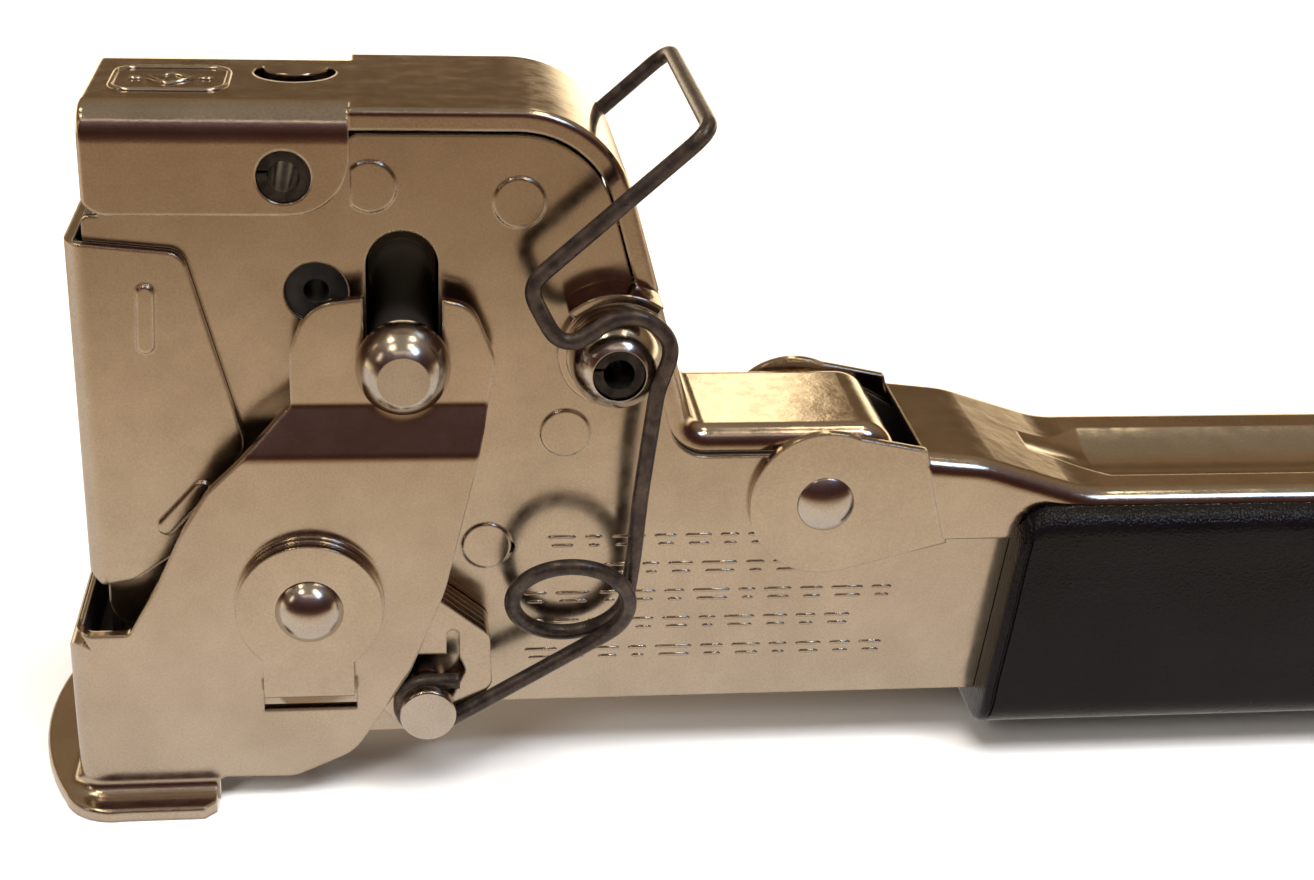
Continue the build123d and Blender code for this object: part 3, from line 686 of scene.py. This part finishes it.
def floor():
    """Pale floor to the camera; to glossy rays it glows a painted warm reflection, brighter near
    the tool and far behind.
    """
    mesh = mesh_of("floor", [(-3, -3, 0), (3, -3, 0), (3, 3, 0), (-3, 3, 0)], [(0, 1, 2, 3)])
    look = Shader("floor")
    tone = look.ramp(look.noise(400, 2), [(0.3, (0.80, 0.80, 0.80)), (0.7, (0.83, 0.83, 0.83))])
    look.link(tone, look.surface.inputs["Base Color"])
    look.surface.inputs["Roughness"].default_value = 0.9
    look.surface.inputs["Specular IOR Level"].default_value = 0.1
    split = look.add("ShaderNodeSeparateXYZ")
    look.link(look.place, split.inputs[0])
    across = look.add("ShaderNodeMath", operation="ABSOLUTE")
    look.link(split.outputs["Y"], across.inputs[0])
    # Painted reflection: a warm gradient the floor emits to glossy rays only, so metal shows it
    # while the camera sees a pale floor.
    painted_reflection = look.ramp(look.spread(across.outputs[0], 0, 1, 0.0, 1.0), [
        (0.02, (0.82, 0.74, 0.68)), (0.07, (0.84, 0.73, 0.61)), (0.13, (0.69, 0.54, 0.40)),
        (0.170, (0.66, 0.52, 0.37)), (0.20, (0.45, 0.33, 0.225)), (0.30, (0.40, 0.275, 0.175)),
        (0.85, (0.15, 0.085, 0.06)),
    ])
    far = look.spread(split.outputs["Y"], 0, 1, 0.28, 0.6)
    painted_reflection = look.mixed(far, painted_reflection, (2.6, 2.1, 1.45))
    glow = look.add("ShaderNodeEmission")
    look.link(painted_reflection, glow.inputs["Color"])
    ray = look.add("ShaderNodeLightPath")
    choose = look.add("ShaderNodeMixShader")
    look.link(ray.outputs["Is Glossy Ray"], choose.inputs["Fac"])
    look.link(look.surface.outputs[0], choose.inputs[1])
    look.link(glow.outputs[0], choose.inputs[2])
    look.link(choose.outputs[0], look.tree.nodes["Material Output"].inputs["Surface"])
    piece = new_piece("floor", mesh, look.material, None)
    piece.location.z = cad_box[0].z - 0.0002


def lamp(name, place, target, size, power, colour=(1, 1, 1)):
    data = bpy.data.lights.new(name, "AREA")
    data.shape = "RECTANGLE"
    data.size, data.size_y = size
    data.energy, data.color = power, colour
    light = bpy.data.objects.new(name, data)
    light.location = place
    aim = Vector(target) - Vector(place)
    light.rotation_euler = aim.to_track_quat("-Z", "Y").to_euler()
    bpy.context.scene.collection.objects.link(light)
    return light


def world():
    """White to the camera, else a warm room: dark in front, brown behind with a bright foot."""
    room = bpy.data.worlds.new("room")
    room.use_nodes = True
    tree = room.node_tree
    tree.nodes.clear()
    place = tree.nodes.new("ShaderNodeTexCoord").outputs["Generated"]
    split = tree.nodes.new("ShaderNodeSeparateXYZ")
    tree.links.new(place, split.inputs[0])

    def band(source, stops):
        ramp = tree.nodes.new("ShaderNodeValToRGB")
        while len(ramp.color_ramp.elements) < len(stops):
            ramp.color_ramp.elements.new(0.5)
        for element, (position, colour) in zip(ramp.color_ramp.elements, stops):
            element.position, element.color = position, (*colour, 1)
        tree.links.new(source, ramp.inputs["Fac"])
        return ramp.outputs["Color"]

    front = band(split.outputs["Z"], [
        (0.0, (0.10, 0.045, 0.03)), (0.28, (0.055, 0.022, 0.020)), (0.56, (0.085, 0.045, 0.042)),
        (0.72, (0.17, 0.11, 0.13)), (0.82, (0.24, 0.18, 0.21)), (0.90, (0.30, 0.26, 0.22)),
        (1.0, (0.31, 0.27, 0.22)),
    ])
    back = band(split.outputs["Z"], [
        (0.0, (2.6, 2.1, 1.45)), (0.10, (1.5, 1.2, 0.78)), (0.17, (0.15, 0.090, 0.046)),
        (0.32, (0.16, 0.105, 0.058)), (0.45, (0.28, 0.18, 0.095)), (0.7, (0.30, 0.24, 0.17)),
        (1.0, (0.31, 0.27, 0.22)),
    ])
    side = tree.nodes.new("ShaderNodeMapRange")
    side.inputs["From Min"].default_value, side.inputs["From Max"].default_value = -0.35, 0.35
    tree.links.new(split.outputs["Y"], side.inputs["Value"])
    mix = tree.nodes.new("ShaderNodeMix")
    mix.data_type = "RGBA"
    tree.links.new(side.outputs["Result"], mix.inputs["Factor"])
    tree.links.new(front, mix.inputs["A"])
    tree.links.new(back, mix.inputs["B"])
    seen = tree.nodes.new("ShaderNodeBackground")
    tree.links.new(mix.outputs["Result"], seen.inputs["Color"])
    blank = tree.nodes.new("ShaderNodeBackground")
    blank.inputs["Color"].default_value = (1, 1, 1, 1)
    ray = tree.nodes.new("ShaderNodeLightPath")
    choose = tree.nodes.new("ShaderNodeMixShader")
    tree.links.new(ray.outputs["Is Camera Ray"], choose.inputs["Fac"])
    tree.links.new(seen.outputs["Background"], choose.inputs[1])
    tree.links.new(blank.outputs["Background"], choose.inputs[2])
    out = tree.nodes.new("ShaderNodeOutputWorld")
    tree.links.new(choose.outputs["Shader"], out.inputs["Surface"])
    bpy.context.scene.world = room


camera()
floor()
world()
overhead = lamp("overhead", (0.1, -0.5, 1.6), (0, 0, 0), (1.6, 1.0), 46, (1.0, 0.97, 0.93))
front_left = lamp("front_left", (-0.9, -1.1, 0.9), (0, 0, 0.03), (0.5, 0.5), 10, (1.0, 0.96, 0.90))
for soft in (overhead, front_left):
    soft.visible_glossy = False
lamp("window_behind", (0.26, 1.77, 0.84), (-0.06, 0, 0.04), (0.16, 0.34), 0.45, (1.0, 0.84, 0.58))
lamp("window_front", (0.62, -0.62, 1.32), (0, 0, 0.03), (0.30, 0.34), 3.4, (0.42, 0.64, 1.0))
lamp("strip", (-0.1, -0.78, 1.25), (-0.06, 0, 0.05), (1.1, 0.05), 0.35, (1.0, 0.88, 0.70))
lamp("window_left", (-1.35, -0.45, 0.85), (-0.1, 0, 0.04), (0.16, 0.4), 0.5, (1.0, 0.88, 0.66))
for x, y in ((-0.80, -0.50), (0.45, -0.50), (-0.80, 0.2), (0.45, 0.2)):
    lamp("ceiling", (x, y, 1.7), (x, y, 0), (0.24, 0.24), 2.6, (1.0, 0.86, 0.62))
bpy.context.scene.view_settings.view_transform = "Standard"
